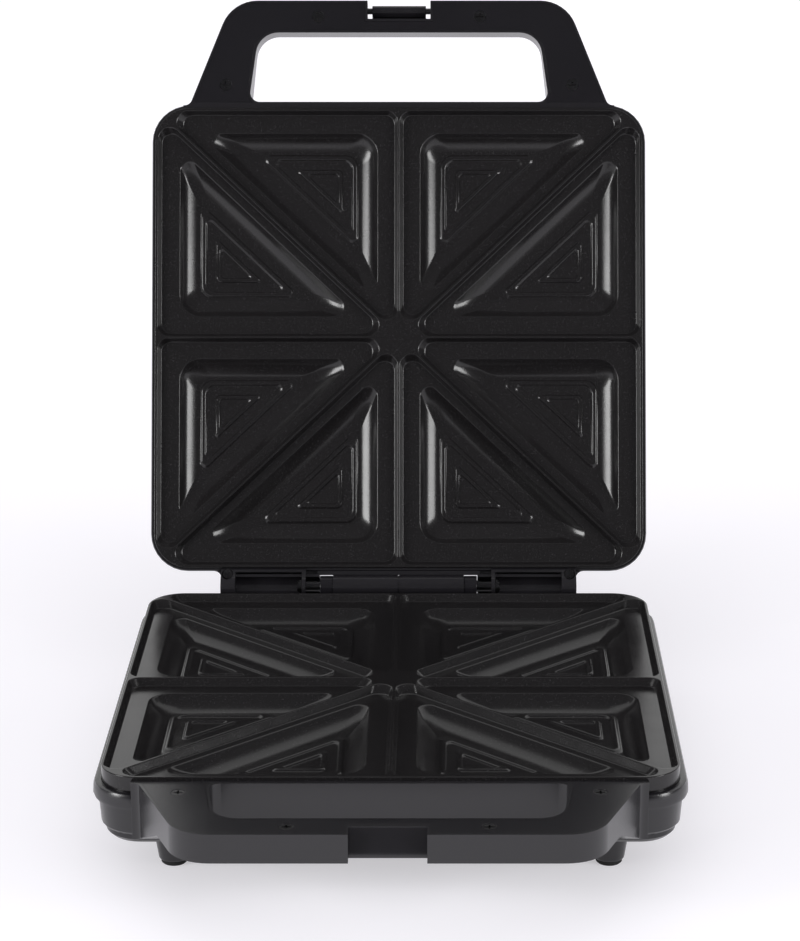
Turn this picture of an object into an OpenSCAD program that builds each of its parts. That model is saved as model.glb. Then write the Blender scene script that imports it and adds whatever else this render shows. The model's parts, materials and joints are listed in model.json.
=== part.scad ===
// Four-slice sandwich toaster: a base and a lid, each carrying a cast cooking plate,
// joined by a rear hinge and held shut by a latch between the two handles.
// Both halves are drawn in one "half frame": plate centre at x = y = 0, rim top at
// z = 0, the housing below it, the handle toward -y and the hinge toward +y.

/* [Cooking plates] */
// Width of a plate over its rim
plate_w = 258; // [240:1:280]
// Depth of a plate over its rim, front to back
plate_d = 243.5; // [226:0.5:262]
// Corner radius of the plate rim
plate_r = 18; // [12:0.5:24]
// Width of the flat top of the rim
rim_w = 1.6; // [0.8:0.1:2.5]
// Depth of the ledge below the rim
ledge_drop = 3.9; // [2:0.1:5]
// Ledge between the rim wall and a pocket
ledge_w = 9.9; // [7:0.1:14]
// Ledge between the cross ridge and a pocket
cross_ledge = 9.3; // [7:0.1:14]
// Ledge between a diagonal ridge and a pocket
diagonal_ledge = 4.5; // [3:0.1:8]
// Width of a sealing ridge at its foot
ridge_foot = 4.2; // [3:0.1:6]
// Width of a sealing ridge at its top
ridge_top = 1.2; // [0.8:0.1:2.5]
// Radius of the corners of a cell, at its foot
cell_r = 4; // [2.5:0.1:5]
// Depth of a pocket below the ledge
pocket_depth = 6.8; // [5:0.1:9]
// Width of the pocket wall along its two short sides
wall_run = 10; // [8:0.1:12]
// Extra width of the pocket wall along its long side
wall_run_extra = 2.6; // [1:0.1:4]
// Radius of a pocket's square corner
pocket_corner_r = 9.5; // [7:0.1:12]
// Radius of a pocket's pointed corners
pocket_tip_r = 2.6; // [2:0.1:4]
// Height of the raised beads on a pocket floor
bead_h = 0.9; // [0.5:0.1:1.5]
// Width of a raised bead
bead_w = 3.8; // [3:0.1:5]
// Flat floor between the two beads
bead_gap = 4; // [3:0.1:5]
// Thickness of the cast plate under the ledge
web_t = 2.6; // [2:0.1:4]
// Height of the plate's outer skirt
skirt_h = 9; // [7:0.1:12]
// Thickness of the skirt
skirt_t = 3; // [2:0.1:4]

/* [Base] */
// Width of the base outside the plate, at each side
base_side = 4; // [2.4:0.1:14]
// Depth of the base outside the plate, at the front and at the back
base_end = 3.25; // [2.4:0.05:12]
// Height of the rim top above the table
rim_height = 54; // [50:1:70]
// Height of the exposed plate wall above the base shoulder
shoulder_drop = 7.2; // [5:0.1:8]
// Height of the bulged band, from the shoulder down
band_h = 8; // [6:0.5:13]
// Step in from the band to the wall below it
band_step = 2.2; // [0.8:0.1:3]
// Bottom edge of the base wall below the rim top
base_wall_h = 28.5; // [28.5:0.5:40]
// Thickness of the bottom cover
cover_t = 4.3; // [3.2:0.1:5]
// Diameter of a foot where it meets the bottom cover
foot_top_d = 20; // [14:0.5:24]
// Diameter of a foot at its pad
foot_end_d = 13.4; // [10:0.1:18]
// Height of the rubber pad under a foot
foot_pad_h = 2.2; // [1.5:0.1:4]
// Distance of the feet in from the plate's sides
foot_side_in = 30.2; // [20:0.2:60]
// Distance of the front feet in from the plate's front
front_foot_in = 29.75; // [16:0.05:60]
// Distance of the rear feet in from the plate's back
rear_foot_in = 15.75; // [15:0.05:50]

/* [Lid] */
// Width of the lid housing outside the plate, at each side
lid_side = 1.7; // [1.5:0.1:12]
// Depth of the lid housing outside the plate, at the front and at the back
lid_end = 1.75; // [1.5:0.05:12]
// Height of the lid, from its rim to its crown
lid_h = 38; // [35:0.5:46]
// Edge of the lid housing below the rim top
lid_edge_drop = 1.6; // [1:0.1:3]
// Corner radius of the lid housing
lid_r = 19.6; // [14:0.2:26]
// Radius of a lamp lens
lens_r = 4; // [3:0.1:6]
// Distance of each lamp from the middle
lens_x = 12; // [8:0.5:30]

/* [Handles] */
// Reach of a handle in front of the plate
handle_out = 57.65; // [46:0.05:80]
// Distance of a handle's root in from the plate's sides
handle_side_in = 18; // [15:0.2:34]
// Half width that a handle loses from its root to its front edge
handle_taper = 22.4; // [10:0.2:28]
// Radius of the front corners of a handle
handle_r = 20; // [12:1:28]
// Width of the grip bar
bar_w = 17.1; // [12:0.1:22]
// Width of a handle's side bars at the housing
side_bar_w = 31.4; // [27:0.2:46]
// Half width that the window loses toward the grip bar
window_taper = 5.2; // [0:0.2:10]
// Distance of the window's rear edge in front of the base
window_gap = 0.3; // [0.3:0.1:5]
// Top of a handle below the rim top
handle_drop = 1.5; // [1.2:0.1:5]
// Thickness of a handle
handle_t = 13.2; // [11:0.1:16]
// Radius of the fillet where a handle meets its housing
handle_fillet = 4; // [3:0.5:8]
// Bottom of a handle's root below the rim top
root_drop = 28; // [20:0.5:28]
// Thickness of a handle's screwed cover
handle_cover_t = 3; // [2:0.1:4]
// Width of the housing edge that shows round a handle cover
cover_edge = 1.3; // [1:0.1:2.5]
// Diameter of the small screws
screw_head_d = 6; // [5:0.1:7]

/* [Latch] */
// Half width of the notch in the upper handle
notch_half = 16.7; // [12:0.1:24]
// Side clearance between the latch and its notch
latch_side_gap = 2.4; // [0.5:0.1:3]
// Radius of the latch pin
latch_pin_r = 1.6; // [1:0.05:2]
// Thickness of the latch plate
latch_t = 2.6; // [2:0.1:3.5]
// Height of the latch tooth
tooth_t = 3; // [2:0.1:4]

/* [Hinge] */
// Distance of the hinge axis behind the plate
hinge_back = 9.75; // [9.75:0.05:24]
// Angle from closed to open, in degrees
open_angle = 109; // [90:0.1:112]
// Gap between the two rims when the lid is closed
rim_gap = 0.6; // [0.4:0.1:2]
// Radius of the hinge pin
pin_r = 3; // [2.5:0.1:3.4]
// Running clearance round the hinge pin and the latch pin
running_gap = 0.05; // [0.02:0.01:0.1]
// Radius of the centre barrel
barrel_r = 6; // [5.6:0.1:6.2]
// Half length of the centre barrel
barrel_half = 34.4; // [26:0.1:40]
// Inner face of a lid arm, from the middle
arm_inner = 48.8; // [44:0.1:56]
// Outer face of a lid arm, from the middle
arm_outer = 93.4; // [80:0.1:100]
// Wall thickness of a lid arm
arm_wall = 2; // [1.8:0.1:2.4]

/* [Hidden] */

body_black = [0.07, 0.07, 0.075];
handle_black = [0.13, 0.13, 0.14];
plate_black = [0.1, 0.1, 0.1];
steel = [0.62, 0.62, 0.64];
spring_steel = [0.45, 0.45, 0.48];

arc_steps = 8;      // steps round a housing corner
tip_steps = 3;      // steps round a pocket corner
cell_steps = 4;     // steps round a cell corner
fit_gap = 0.25;     // gap between fixed pieces that drop into each other
epsilon = 0.02;

// Plate, worked out from its rim
plate_half = [plate_w / 2, plate_d / 2];
cell_slope = (ridge_foot - ridge_top) / 2;
rim_foot = plate_half - [1, 1] * (rim_w + cell_slope);
pocket_outer = rim_foot - [1, 1] * ledge_w;
pocket_inner = ridge_foot / 2 + cross_ledge;
diagonal_gap = ridge_foot / 2 + diagonal_ledge;
diagonal_angle = atan2(rim_foot[1], rim_foot[0]);
pan_t = 2.4;
pan_bottom = ledge_drop + pocket_depth + pan_t;

// Heater, the bosses inside its loop, and the shield under the plate
heater_r = 3.25;
heater_z = -(pan_bottom + 0.1 + heater_r);
heater_half = [0.56 * plate_w / 2, 0.54 * plate_d / 2];
boss_r = 4.2;
boss_half = heater_half - [1, 1] * (heater_r + boss_r) - [4.16, 1.0725];
boss_at = [[0, -boss_half[1]], [0, boss_half[1]], [-boss_half[0], 0], [boss_half[0], 0]];
fuse_y = boss_half[1] - 27.2225;
heater_bend = 16;
lead_x = 22;
clamp_y = 32;
shield_t = 0.8;
shield_z = heater_z - heater_r - 1.2;
shelf_t = 3;
shelf_inner = plate_half - [1, 1] * (skirt_t + 1.5);
cavity_half = plate_half - [1, 1] * 2.7;
shield_half = shelf_inner - [1, 1] * fit_gap;
flange_half = cavity_half - [1, 1] * fit_gap;
flange_z = -skirt_h - shelf_t;
screw_r = 1.5;
screw_head_r = screw_head_d / 2;
head_t = 2;

// Base
base_half = plate_half + [base_side, base_end];
base_r = plate_r + 4;
cover_top = -base_wall_h;
cover_bottom = cover_top - cover_t;
foot_h = rim_height - base_wall_h - cover_t;
cover_half = base_half - [1, 1] * 5.4;
foot_x = plate_half[0] - foot_side_in;
front_foot_y = plate_half[1] - front_foot_in;
rear_foot_y = plate_half[1] - rear_foot_in;
feet = [[-foot_x, -front_foot_y], [foot_x, -front_foot_y]];
back_feet = [[-foot_x, rear_foot_y], [foot_x, rear_foot_y]];
cover_screw_at = [[-0.78 * base_half[0], 0], [0.78 * base_half[0], 0],
    [0, -0.78 * base_half[1]], [0, 0.7 * base_half[1]]];

deck_h = shield_z - shield_t - cover_top - 0.3;
gland_r = 4.6;
gland_x = base_half[0] - 33;
gland_z = -base_wall_h + 8.5;
cord_r = 3.2;
foot_spigot_r = 3.5;

// Lid
lid_half = plate_half + [lid_side, lid_end];
lamp_y = -lid_half[1] + 27;
crown_round = 16;

// Handles: points run anticlockwise seen from the rim side
handle_reach = plate_half[1] + handle_out;
handle_root = plate_half[0] - handle_side_in;
handle_line = handle_taper / (handle_reach - lid_half[1]);
bar_inner = handle_reach - bar_w;
window_root = handle_root - side_bar_w;
window_back = base_half[1] + window_gap;
cover_back = window_back - 0.2;
cover_top_z = -handle_drop;
handle_bottom_z = -handle_drop - handle_t;
side_screw = [handle_root - 19, -base_half[1] - 9.4];
bar_screw = [notch_half + 26.3, -handle_reach + bar_w / 2 + 0.05];
handle_screw_at = [[-side_screw[0], side_screw[1]], [-bar_screw[0], bar_screw[1]], bar_screw, side_screw];

// Latch, in the lid's half frame
latch_half = notch_half - latch_side_gap;
notch_depth = 9.7;
notch_wall = 1.3;
latch_y = -handle_reach + 4.2;
latch_z = handle_bottom_z + 5.3;
latch_boss_r = 2.9;
latch_offset = 1.3;         // from the pin to the near face of the latch plate
recess_top_y = -handle_reach + 8.2;
lip_y = latch_y + 0.4 - latch_offset;
lip_top = handle_bottom_z + 4.6;
lip_bottom = handle_bottom_z + 1;
tooth_gap = 0.5;
tooth_reach = 3;
tooth_z = -(lip_bottom - rim_gap) + tooth_gap;
latch_end = tooth_z + tooth_t - latch_z;

// Hinge
hinge_y = plate_half[1] + hinge_back;
bush_flange_l = 6.8;
bush_flange_r = barrel_r - 0.5;
bush_spigot_r = barrel_r - 1.4;
bush_spigot_l = 12;
clip_groove = 1.2;
pin_end = 1;                // from the clip groove to the end of the pin
arm_r = barrel_r + 0.4;
arm_depth = 26;
arm_fillet = 4;
pin_half = arm_inner + arm_wall + clip_groove + pin_end + 0.2;
arm_screw_at = [arm_outer - 3.4, plate_half[1] + 3.35];
arm_screw_z = -0.8;
arm_head_r = 2.4;
flange_x = 42.8;

// Where the halves stand: the origin is under the middle of the open toaster
lean_reach = hinge_y - (hinge_y - latch_y) * cos(open_angle) + (latch_end - latch_z) * sin(open_angle);
plate_y = -(lean_reach - handle_reach) / 2;
hinge_z = rim_height + rim_gap / 2;

// ---- outlines ----

function unit(v) = v / norm(v);
function left_of(v) = [-v[1], v[0]];
function cross2(a, b) = a[0] * b[1] - a[1] * b[0];

// Where two edges meet after each has moved left by its own distance
function moved_corner(a, b, c, move_ab, move_bc) =
    let (u = unit(b - a), v = unit(c - b), p = a + left_of(u) * move_ab, q = b + left_of(v) * move_bc)
    p + u * (cross2(q - p, v) / cross2(u, v));

// An outline with edge i, from point i to the next, moved inward by moves[i]
function inset_edges(points, moves) =
    let (n = len(points))
    [for (i = [0:n - 1])
        moved_corner(points[(i + n - 1) % n], points[i], points[(i + 1) % n],
            moves[(i + n - 1) % n], moves[i])];

function inset(points, move) = inset_edges(points, [for (p = points) move]);

// The arc that rounds corner b between a and c
function corner_arc(a, b, c, r, steps) =
    let (u = unit(b - a), v = unit(c - b), side = cross2(u, v) > 0 ? 1 : -1,
        turn = acos(max(-1, min(1, u * v))), start = b - u * r * tan(turn / 2),
        centre = start + left_of(u) * side * r, spoke = start - centre)
    [for (i = [0:steps])
        let (t = side * turn * i / steps)
        centre + [spoke[0] * cos(t) - spoke[1] * sin(t), spoke[0] * sin(t) + spoke[1] * cos(t)]];

function rounded(points, radii, steps) =
    let (n = len(points))
    [for (i = [0:n - 1])
        each corner_arc(points[(i + n - 1) % n], points[i], points[(i + 1) % n], radii[i], steps)];

function rectangle(half) = [[-half[0], -half[1]], [half[0], -half[1]], [half[0], half[1]],
    [-half[0], half[1]]];

function rounded_rectangle(half, r) = rounded(rectangle(half), [r, r, r, r], arc_steps);

// A skin through rings of the same number of points; each ring is [outline, z], lowest first
module loft(rings) {
    n = len(rings[0][0]);
    last = len(rings) - 1;
    points = [for (ring = rings) for (p = ring[0]) [p[0], p[1], ring[1]]];
    sides = [for (k = [0:last - 1]) for (i = [0:n - 1])
        let (a = k * n + i, b = k * n + (i + 1) % n)
        each [[a, a + n, b + n], [a, b + n, b]]];
    polyhedron(concat(points), concat([[for (i = [0:n - 1]) i]],
        sides, [[for (i = [0:n - 1]) last * n + n - 1 - i]]));
}

module prism(outline, bottom, top) {
    translate([0, 0, bottom]) linear_extrude(top - bottom) polygon(outline);
}

// A profile in the y-z plane drawn out along x from x0 to x1
module along_x(outline, x0, x1) {
    translate([x0, 0, 0]) rotate([90, 0, 90]) linear_extrude(x1 - x0) polygon(outline);
}

module shaft_x(r, x0, x1) {
    translate([x0, 0, 0]) rotate([0, 90, 0]) cylinder(h = x1 - x0, r = r, $fn = 48);
}

module four_ways() {
    children();
    mirror([1, 0, 0]) children();
    mirror([0, 1, 0]) children();
    mirror([1, 0, 0]) mirror([0, 1, 0]) children();
}

// ---- where each half sits ----

module in_base() {
    translate([0, plate_y, rim_height]) children();
}

module in_lid() {
    translate([0, plate_y + hinge_y, hinge_z])
        rotate([-open_angle, 0, 0])
            translate([0, -hinge_y, rim_gap / 2])
                mirror([0, 0, 1]) children();
}

// ---- cooking plate ----

// Square corner, tip and tip of the pocket that lies against the side rim
function side_pocket() =
    let (s = sin(diagonal_angle), c = cos(diagonal_angle), x = pocket_outer[0], y = pocket_inner)
    [[x, y], [x, (s * x - diagonal_gap) / c], [(diagonal_gap + c * y) / s, y]];

// The same for the pocket that lies against the front or back rim
function end_pocket() =
    let (s = sin(diagonal_angle), c = cos(diagonal_angle), x = pocket_inner, y = pocket_outer[1])
    [[x, y], [x, (diagonal_gap + s * x) / c], [(c * y - diagonal_gap) / s, y]];

// A pocket outline moved in by run from its short sides and by long_run from its long side
function pocket_ring(corners, run, long_run) =
    let (square_r = max(1.6, pocket_corner_r - 0.42 * run), tip_r = max(0.9, pocket_tip_r - 0.05 * run))
    rounded(inset_edges(corners, [run, long_run, run]), [square_r, tip_r, tip_r], tip_steps);

// Steps of the pocket's section from its centre out: [distance in from the edge, height over the floor]
function pocket_section() =
    let (foot = wall_run, slope = 0.9, in1 = foot + bead_w, in2 = in1 + bead_gap, in3 = in2 + bead_w + 0.4)
    [[in3, 0], [in3 - slope, bead_h], [in2 + slope, bead_h], [in2, 0], [in1, 0], [in1 - slope, bead_h],
        [foot + slope, bead_h], [foot, 0.05], [0.5 * wall_run, 0.14 * pocket_depth],
        [0.24 * wall_run, 0.38 * pocket_depth], [0.08 * wall_run, 0.7 * pocket_depth],
        [0, pocket_depth], [0, pocket_depth + 1]];

function long_run(run) = run + wall_run_extra * min(1, run / wall_run);

module pocket(corners) {
    floor_z = -ledge_drop - pocket_depth;
    loft([for (s = pocket_section()) [pocket_ring(corners, s[0], long_run(s[0])), floor_z + s[1]]]);
}

module pockets() {
    four_ways() {
        pocket(side_pocket());
        pocket(end_pocket());
    }
}

// Square corner, tip and tip of the sunk cell that holds a side pocket
function side_cell() =
    let (s = sin(diagonal_angle), c = cos(diagonal_angle), x = rim_foot[0], y = ridge_foot / 2)
    [[x, y], [x, (s * x - y) / c], [(y + c * y) / s, y]];

// The same for an end pocket
function end_cell() =
    let (s = sin(diagonal_angle), c = cos(diagonal_angle), x = ridge_foot / 2, y = rim_foot[1])
    [[x, y], [x, (x + s * x) / c], [(c * y - x) / s, y]];

// What is left between eight cells is the rim, the cross and the diagonal ridges
module cell(corners) {
    function ring(out) = rounded(inset(corners, -out), [for (i = [0:2]) cell_r + out], cell_steps);
    loft([[ring(0), -ledge_drop], [ring(cell_slope), 0], [ring(cell_slope + 0.5), 1]]);
}

module pan(corners) {
    prism(pocket_ring(corners, -1.4, -1.4), -ledge_drop - pocket_depth + 1.4, -ledge_drop - web_t / 2);
    prism(pocket_ring(corners, 2, 2), -pan_bottom, -ledge_drop - pocket_depth + 1.5);
}

module plate() {
    difference() {
        union() {
            difference() {
                prism(rounded_rectangle(plate_half, plate_r), -skirt_h, 0);
                four_ways() {
                    cell(side_cell());
                    cell(end_cell());
                }
                prism(rounded_rectangle(plate_half - [1, 1] * skirt_t, plate_r - skirt_t),
                    -skirt_h - 1, -ledge_drop - web_t);
            }
            four_ways() {
                pan(side_pocket());
                pan(end_pocket());
            }
            for (p = boss_at) translate([p[0], p[1], shield_z])
                cylinder(h = -shield_z - ledge_drop - 1, r = boss_r, $fn = 32);
        }
        pockets();
        for (p = boss_at) translate([p[0], p[1], shield_z - 1])
            cylinder(h = 9, r = screw_r, $fn = 24);
    }
}

// ---- heater, shield and their fixings ----

// A tubular heater bent to a loop, with both cold ends turned back through the open side
module heater() {
    run = heater_half - [1, 1] * heater_bend;
    translate([0, 0, heater_z]) {
        for (sx = [-1, 1]) {
            for (sy = [-1, 1]) translate([sx * run[0], sy * run[1], 0])
                rotate([0, 0, sx > 0 ? (sy > 0 ? 0 : 270) : (sy > 0 ? 90 : 180)])
                    rotate_extrude(angle = 90, $fn = 48) translate([heater_bend, 0])
                        circle(heater_r, $fn = 24);
            translate([sx * heater_half[0], -run[1], 0]) rotate([-90, 0, 0])
                cylinder(h = 2 * run[1], r = heater_r, $fn = 24);
        }
        shaft_at(-run[0], run[0], -heater_half[1]);
        shaft_at(-run[0], -lead_x, heater_half[1]);
        shaft_at(lead_x, run[0], heater_half[1]);
        for (sx = [-1, 1]) {
            x0 = sx > 0 ? lead_x - 12 : -lead_x;
            translate([x0, heater_half[1], 0]) rotate([0, 90, 0]) cylinder(h = 12, r = 1.2, $fn = 16);
        }
    }
}

module shaft_at(x0, x1, y) {
    translate([0, y, 0]) shaft_x(heater_r, x0, x1);
}

module clamps() {
    inner = heater_r + 0.1;
    outer = inner + 0.9;
    foot = 7;
    deck = -heater_z + shield_z;
    for (sx = [-1, 1]) for (sy = [-1, 1]) translate([sx * heater_half[0], sy * clamp_y, heater_z])
        rotate([90, 0, 0]) translate([0, 0, -5]) linear_extrude(10) difference() {
            union() {
                translate([-outer, deck]) square([2 * outer, -deck + 1]);
                translate([-outer - foot, deck]) square([2 * outer + 2 * foot, 0.9]);
            }
            translate([-inner, deck - 1]) square([2 * inner, 30]);
        }
}

module shield() {
    lip = rounded_rectangle(flange_half, plate_r - 3);
    well = rounded_rectangle(shield_half, plate_r - 5);
    well_in = rounded_rectangle(shield_half - [1, 1] * shield_t, plate_r - 5 - shield_t);
    difference() {
        union() {
            prism(lip, flange_z - shield_t, flange_z);
            prism(well, shield_z - shield_t, flange_z);
        }
        prism(well_in, shield_z, flange_z + 1);
        for (p = boss_at) translate([p[0], p[1], shield_z - 2]) cylinder(h = 4, r = screw_r + 0.2, $fn = 24);
        for (sx = [-1, 1]) translate([sx * (lead_x - 6), heater_half[1] + 14, shield_z - 2])
            cylinder(h = 4, r = 4, $fn = 24);
    }
}

module screw(shank_l, r = screw_r, head_r = screw_head_r) {
    translate([0, 0, -head_t]) difference() {
        cylinder(h = head_t, r = head_r, $fn = 32);
        translate([-2, -0.4, -1]) cube([4, 0.8, 2]);
        translate([-0.4, -2, -1]) cube([0.8, 4, 2]);
    }
    translate([0, 0, -epsilon]) cylinder(h = shank_l, r = r - 0.05, $fn = 24);
}

module shield_screws() {
    for (p = boss_at) translate([p[0], p[1], shield_z - shield_t]) screw(8);
}

// ---- handles ----

// Outline of a handle that leaves its housing at front_y, flared by a fillet on each side
function handle_outline(front_y, move = 0) =
    let (front = handle_root - handle_taper, root = handle_root + handle_line * (lid_half[1] - front_y),
        flare = root + handle_fillet * 0.85, back = front_y - 8, r = handle_r - move,
        fillet = handle_fillet + move, edge = 0.3)
    rounded(inset([[-front, -handle_reach], [front, -handle_reach], [root, -front_y], [flare, -front_y],
        [flare, -back], [-flare, -back], [-flare, -front_y], [-root, -front_y]], move),
        [r, r, fillet, edge, edge, edge, edge, fillet], arc_steps);

function window_outline(move = 0) =
    let (front = window_root - window_taper, back = window_back, r = 12 - move, root_r = 5 - move)
    rounded(inset([[-front, -bar_inner], [front, -bar_inner], [window_root, -back],
        [-window_root, -back]], move),
        [r, r, root_r, root_r], arc_steps);

// The handle's tray, moulded in one piece with its housing
module handle_tray(front_y) {
    floor_z = handle_bottom_z + 2.5;
    ramp_y = front_y + 26;
    side_view = [[-front_y + 9, cover_top_z], [-handle_reach - 1, cover_top_z],
        [-handle_reach - 1, handle_bottom_z],
        [-ramp_y, handle_bottom_z], [-front_y, -root_drop], [-front_y + 9, -root_drop]];
    difference() {
        intersection() {
            prism(handle_outline(front_y), -root_drop - 1, cover_top_z + 1);
            along_x(side_view, -plate_w, plate_w);
        }
        prism(window_outline(), -root_drop - 2, cover_top_z + 1);
        difference() {
            prism(handle_outline(front_y, cover_edge), cover_top_z - handle_cover_t, cover_top_z + 1);
            prism(window_outline(-cover_edge), handle_bottom_z, cover_top_z + 2);
            translate([-plate_w, -cover_back, handle_bottom_z]) cube([2 * plate_w, 20, handle_t + 3]);
            notch_block(notch_wall);
        }
        difference() {
            prism(handle_outline(front_y, cover_edge + 1.9), floor_z, cover_top_z - handle_cover_t + 1);
            prism(window_outline(-cover_edge - 1.9), handle_bottom_z, cover_top_z + 2);
            translate([-plate_w, -cover_back - 1.2, handle_bottom_z]) cube([2 * plate_w, 20, handle_t + 3]);
            for (p = handle_screw_at) translate([p[0], p[1], handle_bottom_z])
                cylinder(h = handle_t, r = 3.4, $fn = 24);
            notch_block(3);
        }
        for (p = handle_screw_at) translate([p[0], p[1], handle_bottom_z + 3])
            cylinder(h = handle_t, r = screw_r - 0.3, $fn = 24);
    }
}

module notch_block(wall) {
    translate([-notch_half - wall, -handle_reach - 1, handle_bottom_z - 1])
        cube([2 * notch_half + 2 * wall, notch_depth + 1 + wall, handle_t + 2]);
}

module handle_cover(front_y) {
    gap = 0.12;
    z0 = cover_top_z - handle_cover_t;
    notch = notch_wall + gap;
    difference() {
        prism(handle_outline(front_y, cover_edge + gap), z0, cover_top_z);
        prism(window_outline(-cover_edge - gap), z0 - 1, cover_top_z + 1);
        translate([-plate_w, -cover_back - gap, z0 - 1]) cube([2 * plate_w, 20, handle_cover_t + 2]);
        translate([-notch_half - notch, -handle_reach - 1, z0 - 1])
            cube([2 * (notch_half + notch), notch_depth + 1 + notch, handle_cover_t + 2]);
        for (p = handle_screw_at) translate([p[0], p[1], z0 - 1]) {
            cylinder(h = handle_cover_t + 2, r = screw_r + 0.1, $fn = 24);
            translate([0, 0, handle_cover_t + 1 - head_t - 0.2])
                cylinder(h = 5, r = screw_head_r + 0.15, $fn = 32);
        }
    }
}

module handle_screws() {
    for (p = handle_screw_at) translate([p[0], p[1], cover_top_z - 0.2 - head_t])
        mirror([0, 0, 1]) screw(handle_t - 7.2, screw_r - 0.25);
}

// ---- base ----

module base_shell() {
    band_z = -shoulder_drop - band_h;
    inset_at = [[band_step + 2.6, -base_wall_h], [band_step + 1.1, -base_wall_h + 1.6],
        [band_step + 0.3, band_z - 1.4],
        [band_step, band_z], [0.5, band_z + 0.7], [0, band_z + 2.2],
        [0.2, -shoulder_drop - 2.4], [0.9, -shoulder_drop - 0.7], [2.2, -shoulder_drop]];
    loft([for (s = inset_at) [rounded_rectangle(base_half - [1, 1] * s[0], base_r - s[0]), s[1]]]);
}

module base_housing() color(body_black) in_base() {
    difference() {
        union() {
            base_shell();
            handle_tray(base_half[1]);
            hinge_support();
        }
        prism(rounded_rectangle(plate_half + [1, 1] * fit_gap, plate_r + fit_gap), -skirt_h, 5);
        prism(rounded_rectangle(shelf_inner, plate_r - 4.5), -skirt_h - shelf_t - 1, -skirt_h + 1);
        prism(rounded_rectangle(cavity_half, plate_r - 2.7), -base_wall_h - 1, flange_z);
        latch_recess();
        translate([gland_x, base_half[1] + 1, gland_z]) rotate([90, 0, 0])
            cylinder(h = 14, r = gland_r, $fn = 32);
    }
    for (p = cover_screw_at) cover_boss(p);
}

// The cut in the lower handle's front edge: a ramp for the latch to ride over and a lip for it to hold
module latch_recess() {
    front = -handle_reach - 1;
    section = [[front, cover_top_z + 1], [recess_top_y, cover_top_z + 1], [recess_top_y, cover_top_z - 0.6],
        [lip_y, lip_top], [lip_y, lip_bottom], [lip_y + 6, lip_bottom], [lip_y + 6, handle_bottom_z - 1],
        [front, handle_bottom_z - 1]];
    along_x(section, -notch_half, notch_half);
}

module cover_boss(p) {
    along = abs(p[0]) > abs(p[1]);
    reach = along ? cavity_half[0] - abs(p[0]) : cavity_half[1] - abs(p[1]);
    s = along ? [sign(p[0]), 0] : [0, sign(p[1])];
    difference() {
        union() {
            translate([p[0], p[1], cover_top]) cylinder(h = deck_h, r = 4, $fn = 32);
            translate([p[0] + min(0, s[0] * (reach + 1)) - (along ? 0 : 1),
                p[1] + min(0, s[1] * (reach + 1)) - (along ? 1 : 0), cover_top])
                cube([along ? reach + 1 : 2, along ? 2 : reach + 1, deck_h]);
        }
        translate([p[0], p[1], cover_top - 1]) cylinder(h = deck_h - 0.5, r = screw_r - 0.3, $fn = 24);
    }
}

// The block behind the base that carries the centre barrel of the hinge
module hinge_support() {
    back = hinge_y + barrel_r;
    foot_y = base_half[1] - 5;
    section = [[foot_y, -base_wall_h + 6], [foot_y + 8, -base_wall_h + 6], [back, -barrel_r * 1.4],
        [back, 0], [hinge_y, 0], [foot_y, -shoulder_drop - 3]];
    difference() {
        union() {
            along_x(section, -barrel_half, barrel_half);
            translate([0, hinge_y, rim_gap / 2]) {
                for (side = [0, 1]) mirror([side, 0, 0]) shaft_x(barrel_r, 0.3, barrel_half);
                shaft_x(barrel_r - 0.4, -1, 1);
            }
        }
        translate([0, hinge_y, rim_gap / 2]) shaft_x(bush_spigot_r + 0.05, -barrel_half - 1, barrel_half + 1);
    }
}

module base_bottom_cover() color(body_black) in_base() {
    slot = [34, 3];
    difference() {
        union() {
            loft([[rounded_rectangle(cover_half - [1, 1] * 2, base_r - 7.4), cover_bottom],
                [rounded_rectangle(cover_half, base_r - 5.4), cover_bottom + 2],
                [rounded_rectangle(cover_half, base_r - 5.4), cover_top]]);
            difference() {
                prism(rounded_rectangle(cavity_half - [1, 1] * fit_gap, plate_r - 3), cover_top - 1,
                    cover_top + 3);
                prism(rounded_rectangle(cavity_half - [1, 1] * 2.2, plate_r - 5), cover_top - 2,
                    cover_top + 4);
                for (p = cover_screw_at) translate([p[0] * 1.25, p[1] * 1.25, cover_top + 2.5])
                    cube([24, 24, 5], center = true);
            }
        }
        for (row = [-2:2]) for (sx = [-1, 1])
            translate([sx * 34 - slot[0] / 2, row * 9 - slot[1] / 2 - 30, cover_bottom - 1])
                cube([slot[0], slot[1], 12]);
        for (p = cover_screw_at) translate([p[0], p[1], cover_bottom - 1]) {
            cylinder(h = cover_t + 2, r = screw_r + 0.2, $fn = 24);
            cylinder(h = head_t + 1, r = screw_head_r + 0.2, $fn = 32);
        }
        for (p = concat(feet, back_feet)) translate([p[0], p[1], cover_bottom - 1])
            cylinder(h = 8, r = foot_spigot_r + 0.05, $fn = 32);
    }
}

module bottom_cover_screws() color(steel) in_base()
    for (p = cover_screw_at) translate([p[0], p[1], cover_bottom + head_t])
        screw(cover_t - head_t + deck_h - 2.2, screw_r - 0.25);

module foot() {
    top_r = foot_top_d / 2;
    end_r = foot_end_d / 2;
    taper_h = foot_h - foot_pad_h;
    translate([0, 0, cover_bottom]) mirror([0, 0, 1]) rotate_extrude($fn = 64)
        polygon([[0, 0], [top_r, 0], [top_r - 0.3, 1.2], [end_r + 0.3, taper_h - 0.6], [end_r - 0.4, taper_h],
            [0, taper_h]]);
    translate([0, 0, cover_bottom - epsilon]) cylinder(h = cover_t + 2, r = foot_spigot_r, $fn = 32);
}

module front_feet() color(body_black) in_base() for (p = feet) translate([p[0], p[1], 0]) foot();
module rear_feet() color(body_black) in_base() for (p = back_feet) translate([p[0], p[1], 0]) foot();

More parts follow.
